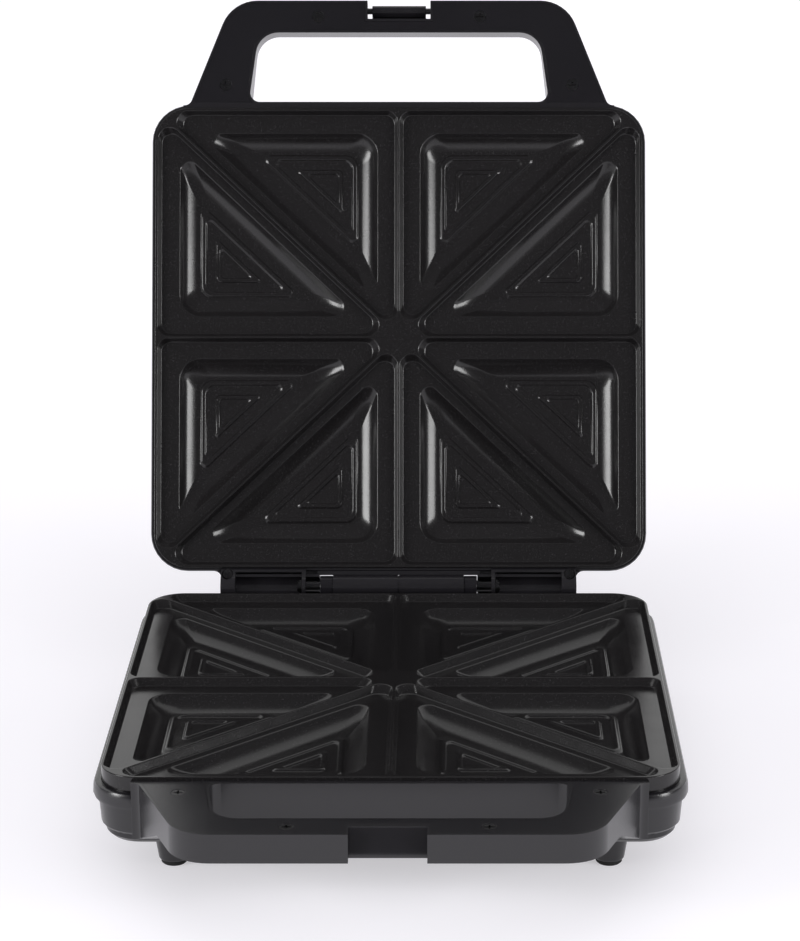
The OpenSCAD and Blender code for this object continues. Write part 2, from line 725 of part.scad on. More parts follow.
module foot_pads() color([0.09, 0.09, 0.09]) in_base()
    for (p = concat(feet, back_feet)) translate([p[0], p[1], -rim_height]) rotate_extrude($fn = 64)
        polygon([[0, 0], [foot_end_d / 2 - 1.4, 0], [foot_end_d / 2 - 0.7, 0.7],
            [foot_end_d / 2 - 0.7, foot_pad_h], [0, foot_pad_h]]);

module lower_plate() color(plate_black) in_base() plate();
module lower_heating_element() color(steel) in_base() heater();
module lower_heat_shield() color(steel) in_base() shield();
module lower_element_clamps() color(spring_steel) in_base() clamps();
module lower_shield_screws() color(steel) in_base() shield_screws();

// A disc thermostat held against the foot of the middle pan
module thermostat() color([0.3, 0.22, 0.16]) in_base() {
    r = 8.5;
    translate([0, -24, -ledge_drop - web_t]) mirror([0, 0, 1]) {
        cylinder(h = 3, r = r, $fn = 48);
        cylinder(h = 9, r = r - 1.6, $fn = 48);
        for (s = [-1, 1]) translate([s * 4 - 0.4, -2.5, 8]) cube([0.8, 5, 4]);
        translate([-boss_r - 1, -13, 0]) cube([2 * boss_r + 2, 26, 0.8]);
    }
}

// A sleeved thermal fuse strapped under the plate, beside the thermostat
module thermal_fuse() color([0.85, 0.85, 0.8]) in_base()
    translate([0, fuse_y, -ledge_drop - web_t - 2.4]) rotate([0, 0, 90]) {
        shaft_x(2.3, -7, 7);
        shaft_x(0.6, -16, 16);
    }

module terminal_block() color([0.9, 0.88, 0.82]) in_base()
    translate([-14, boss_half[1] + 4.7775, cover_top]) difference() {
        cube([28, 14, deck_h]);
        for (i = [0:2]) translate([5 + 9 * i, -1, deck_h / 2]) rotate([-90, 0, 0])
            cylinder(h = 16, r = 1.7, $fn = 24);
        for (i = [0:2]) translate([5 + 9 * i, 7, deck_h / 2]) cylinder(h = 8, r = 1.5, $fn = 24);
    }

// The bush in the rear wall that a supply cord passes through
module cable_gland() color(body_black) in_base()
    translate([gland_x, base_half[1], gland_z]) rotate([-90, 0, 0]) difference() {
        union() {
            translate([0, 0, -8]) cylinder(h = 9, r = gland_r - 0.1, $fn = 32);
            cylinder(h = 1.8, r = gland_r + 1.6, $fn = 32);
            translate([0, 0, 1.7]) cylinder(h = 4, r1 = gland_r + 0.6, r2 = gland_r - 0.2, $fn = 32);
        }
        translate([0, 0, -9]) cylinder(h = 20, r = cord_r, $fn = 32);
    }

module lower_handle_cover() color(handle_black) in_base()
    handle_cover(base_half[1]);
module lower_handle_screws() color(steel) in_base() handle_screws();

// ---- hinge ----

module on_axis() {
    translate([0, plate_y + hinge_y, hinge_z]) children();
}

module hinge_bushes() color([0.16, 0.16, 0.17]) on_axis() for (side = [0, 1]) mirror([side, 0, 0])
    difference() {
    union() {
        shaft_x(bush_spigot_r, barrel_half - bush_spigot_l, barrel_half + 1);
        shaft_x(bush_flange_r, barrel_half, barrel_half + bush_flange_l);
    }
    shaft_x(pin_r + running_gap, 0, arm_outer);
}

module hinge_pin() color(steel) on_axis() rotate([0, 90, 0]) rotate_extrude($fn = 64) {
    groove = pin_half - pin_end - clip_groove;
    polygon([[0, -pin_half], [pin_r - 0.4, -pin_half], [pin_r, -pin_half + 0.4],
        [pin_r, -groove - clip_groove],
        [pin_r - 0.7, -groove - clip_groove], [pin_r - 0.7, -groove], [pin_r, -groove], [pin_r, groove],
        [pin_r - 0.7, groove], [pin_r - 0.7, groove + clip_groove], [pin_r, groove + clip_groove],
        [pin_r, pin_half - 0.4], [pin_r - 0.4, pin_half], [0, pin_half]]);
}

module hinge_clips() color(spring_steel) on_axis() for (side = [0, 1]) mirror([side, 0, 0])
    translate([pin_half - pin_end - clip_groove + 0.1, 0, 0]) difference() {
        shaft_x(arm_r - arm_wall - 0.3, 0, clip_groove - 0.2);
        shaft_x(pin_r - 0.65, -1, clip_groove + 1);
        translate([-1, -1.2, 0]) cube([4, 2.4, 8]);
    }

// ---- lid ----

module lid_shell() {
    inset_at = [[crown_round, -lid_h], [crown_round * 0.58, -lid_h + 1.1], [crown_round * 0.3, -lid_h + 3.6],
        [crown_round * 0.13, -lid_h + 8], [1.3, -lid_h + 15], [0.5, -lid_edge_drop - 6],
            [0, -lid_edge_drop - 1],
        [0.5, -lid_edge_drop]];
    loft([for (s = inset_at) [rounded_rectangle(lid_half - [1, 1] * s[0],
        max(lid_r - s[0], 3 + s[0] * 0.3)), s[1]]]);
}

// Side view of a hinge arm in the half frame: a round end about the hinge axis, blended into the rear wall
function arm_section(move = 0) =
    let (r = arm_r - move, wall = lid_half[1] - 3 + move, up = -arm_depth + move)
    concat([[wall, up], [hinge_y - 3, up]],
        [for (i = [0:8]) let (t = -60 + i * 150 / 8) [hinge_y + r * cos(t), rim_gap / 2 + r * sin(t)]],
        [[hinge_y - r * 0.72, rim_gap / 2 + r * 0.7], [wall, -lid_edge_drop - 1 - move]]);

// The fillet between the lid's rear wall and the outer side of an arm
function arm_fillet_outline() =
    let (x = arm_outer, y = lid_half[1], r = arm_fillet)
    concat([[x - 1, y - 1], [x + r, y - 1]],
        [for (i = [0:4]) let (t = 90 - 90 * i / 4) [x + r - r * cos(t), y + r - r * sin(t)]],
            [[x - 1, y + r]]);

module lid_arm() {
    difference() {
        along_x(arm_section(), arm_inner, arm_outer);
        difference() {
            along_x(arm_section(arm_wall), arm_inner + arm_wall, arm_outer - 7.6);
            translate([arm_screw_at[0] - 5, lid_half[1] - 5, -40]) cube([12, 8, 60]);
        }
        // the mouth toward the plate side
        translate([arm_inner + arm_wall, lid_half[1] + 0.6, -arm_depth + 12])
            cube([arm_outer - arm_inner - arm_wall - 7.6,
            hinge_y - lid_half[1] + arm_r - 3, 40]);
        translate([0, hinge_y, rim_gap / 2])
            shaft_x(pin_r + running_gap, arm_inner - 1, arm_inner + arm_wall + 1);
    }
}

module lid_housing() color(body_black) in_lid() {
    difference() {
        union() {
            lid_shell();
            handle_tray(lid_half[1]);
            for (side = [0, 1]) mirror([side, 0, 0]) {
                lid_arm();
                prism(arm_fillet_outline(), -arm_depth + 6, -lid_edge_drop - 1);
            }
            translate([-flange_x, lid_half[1] - 3, -arm_depth + 6])
                cube([2 * flange_x, 5.2, arm_depth - 6 - 2.4]);
        }
        prism(rounded_rectangle(plate_half + [1, 1] * fit_gap, plate_r + fit_gap), -skirt_h, 5);
        prism(rounded_rectangle(shelf_inner, plate_r - 4.5), -skirt_h - shelf_t - 1, -skirt_h + 1);
        prism(rounded_rectangle(cavity_half, plate_r - 2.7), -lid_h + 11, flange_z);
        prism(rounded_rectangle(cavity_half - [1, 1] * 7, plate_r - 9.7), -lid_h + 3, -lid_h + 12);
        notch_block(0);
        translate([0, latch_y, latch_z]) shaft_x(latch_pin_r + running_gap, -notch_half - 5, notch_half + 5);
        for (side = [-1, 1]) translate([side * lens_x, lamp_y, -lid_h - 1])
            cylinder(h = 6, r = lens_r + 0.05, $fn = 32);
        for (side = [-1, 1]) translate([side * arm_screw_at[0], arm_screw_at[1], arm_screw_z]) {
            translate([0, 0, -12]) cylinder(h = 13, r = screw_r - 0.3, $fn = 24);
            cylinder(h = 12, r = arm_head_r + 0.5, $fn = 32);
        }
    }
}

module upper_plate() color(plate_black) in_lid() plate();
module upper_heating_element() color(steel) in_lid() heater();
module upper_heat_shield() color(steel) in_lid() shield();
module upper_element_clamps() color(spring_steel) in_lid() clamps();
module upper_shield_screws() color(steel) in_lid() shield_screws();
module upper_handle_cover() color(handle_black) in_lid() handle_cover(lid_half[1]);
module upper_handle_screws() color(steel) in_lid() handle_screws();

module hinge_arm_screws() color(steel) in_lid() for (side = [-1, 1])
    translate([side * arm_screw_at[0], arm_screw_at[1], arm_screw_z]) mirror([0, 0, 1])
        screw(8, screw_r - 0.25, arm_head_r);

module lens() {
    translate([0, lamp_y, -lid_h - 0.9]) {
        rotate_extrude($fn = 48) polygon([[0, -0.5], [lens_r * 0.5, -0.35], [lens_r + 0.7, 0.4],
            [lens_r + 0.7, 0.9],
            [lens_r, 0.9], [lens_r, 5.4], [0, 5.4]]);
    }
}

module power_lamp_lens() color([0.6, 0.05, 0.04]) in_lid() translate([-lens_x, 0, 0]) lens();
module ready_lamp_lens() color([0.05, 0.4, 0.08]) in_lid() translate([lens_x, 0, 0]) lens();

// One moulding that holds both neon lamps behind their lenses
module lamp_holder() color([0.85, 0.83, 0.76]) in_lid()
    translate([0, lamp_y, -lid_h + 4.5]) {
        translate([-lens_x - 7, -6, 0]) cube([2 * lens_x + 14, 12, 1.6]);
        for (side = [-1, 1]) translate([side * lens_x, 0, 0]) cylinder(h = 6, r = lens_r, $fn = 32);
    }

// ---- latch ----

module latch_pin() color(steel) in_lid() translate([0, latch_y, latch_z])
    shaft_x(latch_pin_r, -notch_half - 4.5, notch_half + 4.5);

// A moulded clip on a pin in the upper handle. Hooked, its tooth holds the lower handle's lip;
// with the lid open it is flipped half a turn, and points away behind the handle.
module hooked_latch() {
    near = latch_y - latch_offset;
    far = near - latch_t;
    section = [[latch_y, latch_z + latch_boss_r], [near, latch_z + latch_boss_r + 0.8], [near, tooth_z],
        [near + tooth_reach - 0.8, tooth_z], [near + tooth_reach, tooth_z + 0.8],
            [near + 0.4, tooth_z + tooth_t],
        [far + 1.2, tooth_z + tooth_t], [far, tooth_z + tooth_t - 1.4], [far, latch_z + 1],
            [far + 0.9, latch_z - 1.2],
        [latch_y, latch_z - latch_boss_r + 0.3]];
    difference() {
        union() {
            along_x(section, -latch_half, latch_half);
            translate([0, latch_y, latch_z]) shaft_x(latch_boss_r, -latch_half, latch_half);
        }
        translate([0, latch_y, latch_z]) shaft_x(latch_pin_r + running_gap, -latch_half - 1, latch_half + 1);
    }
}

module latch() color(handle_black) in_lid()
    translate([0, latch_y, latch_z]) rotate([180, 0, 0]) translate([0, -latch_y, -latch_z]) hooked_latch();

base_housing();
base_bottom_cover();
bottom_cover_screws();
front_feet();
rear_feet();
foot_pads();
lower_plate();
lower_heating_element();
lower_heat_shield();
lower_element_clamps();
lower_shield_screws();
thermostat();
thermal_fuse();
terminal_block();
cable_gland();
lower_handle_cover();
lower_handle_screws();
hinge_bushes();
hinge_pin();
hinge_clips();
lid_housing();
upper_plate();
upper_heating_element();
upper_heat_shield();
upper_element_clamps();
upper_shield_screws();
upper_handle_cover();
upper_handle_screws();
hinge_arm_screws();
power_lamp_lens();
ready_lamp_lens();
lamp_holder();
latch_pin();
latch();
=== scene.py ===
import json
import math

import bpy
from mathutils import Matrix, Vector


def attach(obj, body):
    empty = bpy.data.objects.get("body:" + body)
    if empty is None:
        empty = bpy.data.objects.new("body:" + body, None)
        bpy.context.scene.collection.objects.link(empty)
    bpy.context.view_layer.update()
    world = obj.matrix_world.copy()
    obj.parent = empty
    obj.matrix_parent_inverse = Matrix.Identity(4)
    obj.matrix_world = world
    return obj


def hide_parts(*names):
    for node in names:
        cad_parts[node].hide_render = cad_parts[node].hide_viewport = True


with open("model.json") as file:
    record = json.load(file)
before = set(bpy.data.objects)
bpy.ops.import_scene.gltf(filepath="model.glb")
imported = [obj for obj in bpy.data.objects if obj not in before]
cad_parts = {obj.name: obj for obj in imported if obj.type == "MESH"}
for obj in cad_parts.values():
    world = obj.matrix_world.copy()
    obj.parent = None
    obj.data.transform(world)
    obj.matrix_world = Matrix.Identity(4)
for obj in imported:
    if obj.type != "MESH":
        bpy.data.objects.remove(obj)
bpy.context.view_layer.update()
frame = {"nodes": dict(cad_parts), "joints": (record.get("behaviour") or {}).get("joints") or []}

mm = 0.001

# ---- studio ----
# A long lens looks down a little at the open toaster on a white table. Soft light falls from
# above, two panels stand at either side in front, and the room round them is dark.
picture_h = 941
lens_px = 2778.7
film_w = 36
camera_pitch = math.radians(16.876)
camera_data = bpy.data.cameras.new("camera")
camera_data.sensor_width = film_w
camera_data.lens = film_w * lens_px / picture_h
camera_data.shift_x = -42.2 / picture_h
camera_data.clip_end = 20
camera = bpy.data.objects.new("camera", camera_data)
camera.location = (22.98 * mm, -1294.24 * mm, 537.36 * mm)
camera.rotation_euler = (math.radians(90) - camera_pitch, 0, 0)
bpy.context.scene.collection.objects.link(camera)
bpy.context.scene.camera = camera
bpy.context.scene.view_settings.view_transform = "Standard"


def white_for_view(tree, seen, unseen):
    """Mixes two shaders: `seen` for camera, glossy and transmission rays, `unseen` for the rest."""
    path = tree.nodes.new("ShaderNodeLightPath")
    first = tree.nodes.new("ShaderNodeMath")
    first.operation = "MAXIMUM"
    second = tree.nodes.new("ShaderNodeMath")
    second.operation = "MAXIMUM"
    tree.links.new(path.outputs["Is Camera Ray"], first.inputs[0])
    tree.links.new(path.outputs["Is Glossy Ray"], first.inputs[1])
    tree.links.new(first.outputs[0], second.inputs[0])
    tree.links.new(path.outputs["Is Transmission Ray"], second.inputs[1])
    mix = tree.nodes.new("ShaderNodeMixShader")
    tree.links.new(second.outputs[0], mix.inputs[0])
    tree.links.new(unseen.outputs[0], mix.inputs[1])
    tree.links.new(seen.outputs[0], mix.inputs[2])
    return mix


world = bpy.data.worlds.new("studio")
bpy.context.scene.world = world
world.use_nodes = True
world.node_tree.nodes.clear()
seen_sky = world.node_tree.nodes.new("ShaderNodeBackground")
seen_sky.inputs["Color"].default_value = (1, 1, 1, 1)
fill_sky = world.node_tree.nodes.new("ShaderNodeBackground")
fill_sky.inputs["Color"].default_value = (0.98, 0.97, 1, 1)
fill_sky.inputs["Strength"].default_value = 0.45
world_out = world.node_tree.nodes.new("ShaderNodeOutputWorld")
sky = white_for_view(world.node_tree, seen_sky, fill_sky)
world.node_tree.links.new(sky.outputs[0], world_out.inputs[0])

bpy.ops.object.select_all(action="DESELECT")
bpy.ops.mesh.primitive_plane_add(size=12, location=(0, 0, 0))
floor = bpy.context.object
floor.name = "floor"
floor_paint = bpy.data.materials.new("white_table")
floor_paint.use_nodes = True
floor_nodes = floor_paint.node_tree
floor_nodes.nodes.clear()
table_paint = floor_nodes.nodes.new("ShaderNodeBsdfDiffuse")
table_paint.inputs["Color"].default_value = (0.615, 0.607, 0.64, 1)
table_glow = floor_nodes.nodes.new("ShaderNodeEmission")
table_glow.inputs["Color"].default_value = (0.985, 0.97, 1, 1)
# The table's glow is weaker within 0.2 m of the middle and grows out to 0.9 m: a painted shade on the
# floor round the toaster, on top of the shadow that the lamps cast, while the far table glows white.
table_place = floor_nodes.nodes.new("ShaderNodeTexCoord")
from_middle = floor_nodes.nodes.new("ShaderNodeVectorMath")
from_middle.operation = "LENGTH"
floor_nodes.links.new(table_place.outputs["Object"], from_middle.inputs[0])
painted_shade_ramp = floor_nodes.nodes.new("ShaderNodeMapRange")
painted_shade_ramp.inputs["From Min"].default_value = 0.2
painted_shade_ramp.inputs["From Max"].default_value = 0.9
painted_shade_ramp.inputs["To Min"].default_value = 0.46
painted_shade_ramp.inputs["To Max"].default_value = 0.62
floor_nodes.links.new(from_middle.outputs["Value"], painted_shade_ramp.inputs["Value"])
floor_nodes.links.new(painted_shade_ramp.outputs[0], table_glow.inputs["Strength"])
seen_table = floor_nodes.nodes.new("ShaderNodeAddShader")
floor_nodes.links.new(table_paint.outputs[0], seen_table.inputs[0])
floor_nodes.links.new(table_glow.outputs[0], seen_table.inputs[1])
table_out = floor_nodes.nodes.new("ShaderNodeOutputMaterial")
table = white_for_view(floor_nodes, seen_table, table_paint)
floor_nodes.links.new(table.outputs[0], table_out.inputs[0])
floor.data.materials.append(floor_paint)

card_paint = bpy.data.materials.new("dark_card")
card_paint.use_nodes = True
card_shader = card_paint.node_tree.nodes["Principled BSDF"]
card_shader.inputs["Base Color"].default_value = (0.2, 0.2, 0.203, 1)
card_shader.inputs["Roughness"].default_value = 1


def dark_card(name, place, turn, size):
    """A card that only reflections see, as the dark room round the table."""
    bpy.ops.object.select_all(action="DESELECT")
    bpy.ops.mesh.primitive_plane_add(size=1, location=place, rotation=[math.radians(a) for a in turn])
    card = bpy.context.object
    card.name = name
    card.scale = (*size, 1)
    card.visible_camera = False
    card.visible_shadow = False
    card.visible_diffuse = False
    card.data.materials.append(card_paint)


dark_card("front_card", (0, -2.6, 1.3), (90, 0, 0), (5.2, 2.56))
dark_card("top_card", (0, -0.9, 2.6), (0, 0, 0), (5.2, 3.4))
dark_card("table_end_card", (0, -1.6, 0.002), (0, 0, 0), (5.2, 2))
dark_card("left_card", (-2.6, -0.5, 1.3), (0, 90, 0), (2.56, 4.2))
dark_card("right_card", (2.6, -0.5, 1.3), (0, 90, 0), (2.56, 4.2))


def soft_box(name, place, target, size, watts):
    """A lit panel that faces the toaster."""
    lamp = bpy.data.lights.new(name, "AREA")
    lamp.shape = "RECTANGLE"
    lamp.size, lamp.size_y = size
    lamp.energy = watts
    holder = bpy.data.objects.new(name, lamp)
    holder.location = place
    holder.rotation_euler = (Vector(target) - Vector(place)).to_track_quat("-Z", "Y").to_euler()
    bpy.context.scene.collection.objects.link(holder)


toaster_middle = (0, 0.05, 0.2)
panel_size = (0.66, 0.85)
soft_box("left_panel", (-1.78, -1.12, 0.6), toaster_middle, panel_size, 24)
soft_box("right_panel", (1.78, -1.12, 0.6), toaster_middle, panel_size, 20)

overhead = bpy.data.lights.new("overhead", "SUN")
overhead.energy = 0.85
overhead.angle = math.radians(80)
overhead_holder = bpy.data.objects.new("overhead", overhead)
overhead_holder.rotation_euler = (math.radians(24), 0, 0)
overhead_holder.visible_glossy = False
bpy.context.scene.collection.objects.link(overhead_holder)

# ---- both halves ----
# Base and lid are the same moulding turned face to face. A point of a half is given from the
# middle of its plate: rim top at z = 0, body below it, handle toward -y, hinge toward +y.
hinge = frame["joints"][0]
open_angle = math.radians(hinge["range_deg"][1])
hinge_y = 131.5 * mm
rim_gap = 0.6 * mm
axis_place = Vector(hinge["pos_m"])
base_place = Matrix.Translation((0, axis_place.y - hinge_y, axis_place.z - rim_gap / 2))
face_down = Matrix.Scale(-1, 4, (0, 0, 1))
lid_place = (Matrix.Translation(axis_place) @ Matrix.Rotation(-open_angle, 4, "X")
             @ Matrix.Translation((0, -hinge_y, rim_gap / 2)) @ face_down)

# ---- cooking plates ----
# Die-cast aluminium under a black non-stick coat with a fine speckle. Eight sunk cells leave
# the rim, the cross and the diagonals between them, and each holds a dished pocket with two beads.
plate_half = (129 * mm, 121.75 * mm)
plate_r = 18 * mm
rim_w = 1.6 * mm
ledge_drop = 3.9 * mm
pocket_depth = 6.8 * mm
skirt_h = 9 * mm
skirt_t = 3 * mm
web_t = 2.6 * mm
pan_t = 2.4 * mm
pan_margin = 1.4 * mm        # a pan's outline outside its pocket's
pan_corner_r = (9 * mm, 3 * mm, 3 * mm)
ridge_foot = 4.2 * mm
ridge_top = 1.2 * mm
rim_land = 9.9 * mm          # ledges between a pocket and the rim, the cross and a diagonal
cross_land = 9.3 * mm
diagonal_land = 4.5 * mm
rim_edge_r = 0.45 * mm
cell_slope = (ridge_foot - ridge_top) / 2
cell_r = 4 * mm
wall_run = 10 * mm           # width of a pocket wall, and what its long side has more
long_wall_extra = 2.6 * mm
long_wall_curl = 0.4         # how hollow the long wall is
pocket_margin = 2.6 * mm     # a pocket cutter starts this much wider than its pocket
pocket_cut_r = (12.1 * mm, 5.2 * mm, 5.2 * mm)
bead_h = 0.9 * mm
beads = ((10.2 * mm, 3.8 * mm), (18 * mm, 3.4 * mm))    # distance from the pocket's edge, and width
weld_gap = 0.005 * mm
no_move = 0.0001 * mm
rim_foot = [h - rim_w - cell_slope for h in plate_half]
pocket_outer = [f - rim_land for f in rim_foot]
pocket_inner = ridge_foot / 2 + cross_land
diagonal_gap = ridge_foot / 2 + diagonal_land
diagonal = math.atan2(rim_foot[1], rim_foot[0])


def only(piece):
    """Selects this piece alone and makes it active."""
    if bpy.context.object and bpy.context.object.mode != "OBJECT":
        bpy.ops.object.mode_set(mode="OBJECT")
    bpy.ops.object.select_all(action="DESELECT")
    piece.select_set(True)
    bpy.context.view_layer.objects.active = piece


def seat(piece, place):
    """Puts a piece drawn in a half's own frame where that half stands, with its place in its mesh."""
    only(piece)
    piece.matrix_world = place @ piece.matrix_world
    bpy.ops.object.transform_apply(location=True, rotation=True, scale=True)
    bpy.ops.object.mode_set(mode="EDIT")
    bpy.ops.mesh.select_all(action="SELECT")
    bpy.ops.mesh.normals_make_consistent(inside=False)
    bpy.ops.object.mode_set(mode="OBJECT")


def apply_modifiers(piece):
    """Applies all that a piece carries, in order."""
    only(piece)
    for modifier in list(piece.modifiers):
        bpy.ops.object.modifier_apply(modifier=modifier.name)


def smooth(piece, degrees=32):
    """Smooth shading that keeps the flats flat."""
    only(piece)
    bpy.ops.object.shade_smooth_by_angle(angle=math.radians(degrees))
    weigh = piece.modifiers.new("weigh", "WEIGHTED_NORMAL")
    weigh.keep_sharp = True
    weigh.weight = 80
    apply_modifiers(piece)


def combine(piece, tool, how):
    """Unites, cuts or intersects a piece with a tool, which is used up."""
    cut = piece.modifiers.new(how, "BOOLEAN")
    cut.operation = how
    cut.solver = "EXACT"
    cut.object = tool
    apply_modifiers(piece)
    bpy.data.objects.remove(tool)


def pick_edges(piece, wanted):
    """Selects the edges for which wanted(end, end) is true and goes into edit mode."""
    only(piece)
    bpy.ops.object.mode_set(mode="EDIT")
    bpy.ops.mesh.select_mode(type="EDGE")
    bpy.ops.mesh.select_all(action="DESELECT")
    bpy.ops.object.mode_set(mode="OBJECT")
    for edge in piece.data.edges:
        edge.select = wanted(*(piece.data.vertices[i].co for i in edge.vertices))
    bpy.ops.object.mode_set(mode="EDIT")


def slab(name, half, r, z0, z1, steps=16):
    """A plate with rounded corners, made from a cube whose upright edges are bevelled."""
    bpy.ops.object.select_all(action="DESELECT")
    bpy.ops.mesh.primitive_cube_add(size=2, location=(0, 0, (z0 + z1) / 2))
    piece = bpy.context.object
    piece.name = name
    piece.scale = (half[0], half[1], (z1 - z0) / 2)
    bpy.ops.object.transform_apply(location=True, rotation=True, scale=True)
    pick_edges(piece, lambda a, b: abs(a.z - b.z) > 1e-6)
    bpy.ops.mesh.bevel(offset=r, segments=steps, profile=0.5)
    bpy.ops.object.mode_set(mode="OBJECT")
    return piece


def pick_faces(piece, wanted):
    """Selects the faces for which wanted(centre, normal) is true and goes into edit mode."""
    only(piece)
    bpy.ops.object.mode_set(mode="EDIT")
    bpy.ops.mesh.select_mode(type="FACE")
    bpy.ops.mesh.select_all(action="DESELECT")
    bpy.ops.object.mode_set(mode="OBJECT")
    for face in piece.data.polygons:
        face.select = wanted(face.center, face.normal)
    bpy.ops.object.mode_set(mode="EDIT")


def rounded_corners(corners, radii, steps):
    """The points of an outline whose corners are replaced by arcs."""
    points = []
    for i, (corner, r) in enumerate(zip(corners, radii)):
        before = (corner - corners[i - 1]).normalized()
        after = (corners[(i + 1) % len(corners)] - corner).normalized()
        turn = before.angle(after)
        start = corner - before * r * math.tan(turn / 2)
        centre = start + Vector((-before.y, before.x)) * r
        spoke = start - centre
        for k in range(steps + 1):
            t = turn * k / steps
            points.append(centre + Vector((spoke.x * math.cos(t) - spoke.y * math.sin(t),
                                           spoke.x * math.sin(t) + spoke.y * math.cos(t))))
    return points


def side_pocket():
    """A pocket along the plate's side: its square corner, then its two points."""
    s, c = math.sin(diagonal), math.cos(diagonal)
    x, y = pocket_outer[0], pocket_inner
    return [Vector((x, y)), Vector((x, (s * x - diagonal_gap) / c)),
            Vector(((diagonal_gap + c * y) / s, y))]


def end_pocket():
    """A pocket along the plate's front or back."""
    s, c = math.sin(diagonal), math.cos(diagonal)
    x, y = pocket_inner, pocket_outer[1]
    return [Vector((x, y)), Vector((x, (diagonal_gap + s * x) / c)),
            Vector(((c * y - diagonal_gap) / s, y))]


def moved_in(corners, moves):
    """A triangle with side i, from corner i to the next, moved inward by moves[i]."""
    lines = []
    for i in range(3):
        along = (corners[(i + 1) % 3] - corners[i]).normalized()
        lines.append((corners[i] + Vector((-along.y, along.x)) * moves[i], along))
    result = []
    for i in range(3):
        (p, u), (q, v) = lines[i - 1], lines[i]
        gap = q - p
        result.append(p + u * ((gap.x * v.y - gap.y * v.x) / (u.x * v.y - u.y * v.x)))
    return result


def scale_between(corners, moves):
    """The small triangle whose sides have moved in, with the factor and fixed point that shrink to it."""
    small = moved_in(corners, moves)
    factor = (small[1] - small[0]).length / (corners[1] - corners[0]).length
    fixed = (small[0] - corners[0] * factor) / (1 - factor)
    return small, factor, fixed


def stack(name, corners, radii, rings, steps=7):
    """A triangular plug: a flat outline drawn down and shrunk ring by ring. A ring is how far each
    side has moved in, and its height."""
    outline = rounded_corners(corners, radii, steps)
    bpy.ops.object.select_all(action="DESELECT")
    bpy.ops.mesh.primitive_circle_add(vertices=len(outline), fill_type="NGON")
    piece = bpy.context.object
    piece.name = name
    for vertex, point in zip(piece.data.vertices, outline):
        vertex.co = (point.x, point.y, rings[0][1])
    only(piece)
    bpy.ops.object.mode_set(mode="EDIT")
    bpy.ops.mesh.select_all(action="SELECT")
    now, height = corners, rings[0][1]
    done = [0, 0, 0]
    for moves, z in rings[1:]:
        steps_in = [m - d for m, d in zip(moves, done)]
        bpy.ops.mesh.extrude_region_move(TRANSFORM_OT_translate={"value": (0, 0, z - height)})
        if any(abs(m) > no_move for m in steps_in):
            now, factor, fixed = scale_between(now, steps_in)
            bpy.ops.transform.resize(value=(factor, factor, 1), center_override=(fixed.x, fixed.y, z))
        done, height = moves, z
    bpy.ops.mesh.select_all(action="SELECT")
    bpy.ops.mesh.normals_make_consistent(inside=False)
    bpy.ops.object.mode_set(mode="OBJECT")
    return piece


def wall_rings():
    """The pocket's section: a small lip, a wall that eases from steep to gentle, a fillet, then
    both beads. The wall along the long side is a wider, hollow curve."""
    floor_z = -ledge_drop - pocket_depth
    slopes = ((-0.5, 0), (-0.3, 18), (-0.1, 38), (0.1, 52), (0.5, 58), (1.3, 57), (2.1, 50),
              (2.9, 42), (3.7, 36), (4.5, 33), (5.5, 30), (6.5, 27.5), (7.5, 25), (8.3, 21),
              (9, 15), (9.6, 7), (10, 0))
    fall = [0.0]
    for (x0, s0), (x1, s1) in zip(slopes, slopes[1:]):
        fall.append(fall[-1] + (x1 - x0) * math.tan(math.radians((s0 + s1) / 2)))
    section = [(across * mm, -ledge_drop - pocket_depth * down / fall[-1])
               for (across, angle), down in zip(slopes, fall)]
    rings = [([-pocket_margin] * 3, 4 * mm)]
    for across, z in section:
        left = max(0, 1 - (-ledge_drop - z) / pocket_depth)
        long_side = (wall_run + long_wall_extra) * (1 - left ** long_wall_curl) if across > 0 else across
        rings.append(([across, long_side, across], z))
    bead_section = ((0.0, 0.0), (0.10, 0.12), (0.2, 0.6), (0.3, 0.93), (0.42, 1.0),
                    (0.58, 1.0), (0.7, 0.93), (0.8, 0.6), (0.9, 0.12), (1.0, 0.0))
    for outer, wide in beads:
        for across, up in bead_section:
            at = outer + wide * across + 0.05 * mm
            rings.append(([at, at + long_wall_extra, at], floor_z + bead_h * up))
    return rings


def mirrored(piece, sx, sy):
    """A copy of a piece, with its own mesh, turned over in x or y."""
    copy = piece.copy()
    copy.data = piece.data.copy()
    bpy.context.scene.collection.objects.link(copy)
    copy.scale = (sx, sy, 1)
    only(copy)
    bpy.ops.object.transform_apply(location=False, rotation=False, scale=True)
    bpy.ops.object.mode_set(mode="EDIT")
    bpy.ops.mesh.select_all(action="SELECT")
    bpy.ops.mesh.normals_make_consistent(inside=False)
    bpy.ops.object.mode_set(mode="OBJECT")
    return copy


def joined(pieces, name):
    """Makes several pieces one object."""
    bpy.ops.object.select_all(action="DESELECT")
    for piece in pieces:
        piece.select_set(True)
    bpy.context.view_layer.objects.active = pieces[0]
    bpy.ops.object.join()
    bpy.context.object.name = name
    return bpy.context.object


def eight_of(outlines, maker):
    """A plug for each of a plate's eight fields, from the outlines of a side field and an end field."""
    made = []
    for corners in outlines:
        first = maker(corners)
        made += [mirrored(first, -1, 1), mirrored(first, 1, -1), mirrored(first, -1, -1), first]
    return joined(made, "plugs")


def side_cell():
    """The foot of the sunk cell round a side pocket."""
    s, c = math.sin(diagonal), math.cos(diagonal)
    x, y = rim_foot[0], ridge_foot / 2
    return [Vector((x, y)), Vector((x, (s * x - y) / c)), Vector(((y + c * y) / s, y))]


def end_cell():
    """The foot of the sunk cell round an end pocket."""
    s, c = math.sin(diagonal), math.cos(diagonal)
    x, y = ridge_foot / 2, rim_foot[1]
    return [Vector((x, y)), Vector((x, (x + s * x) / c)), Vector(((c * y - x) / s, y))]


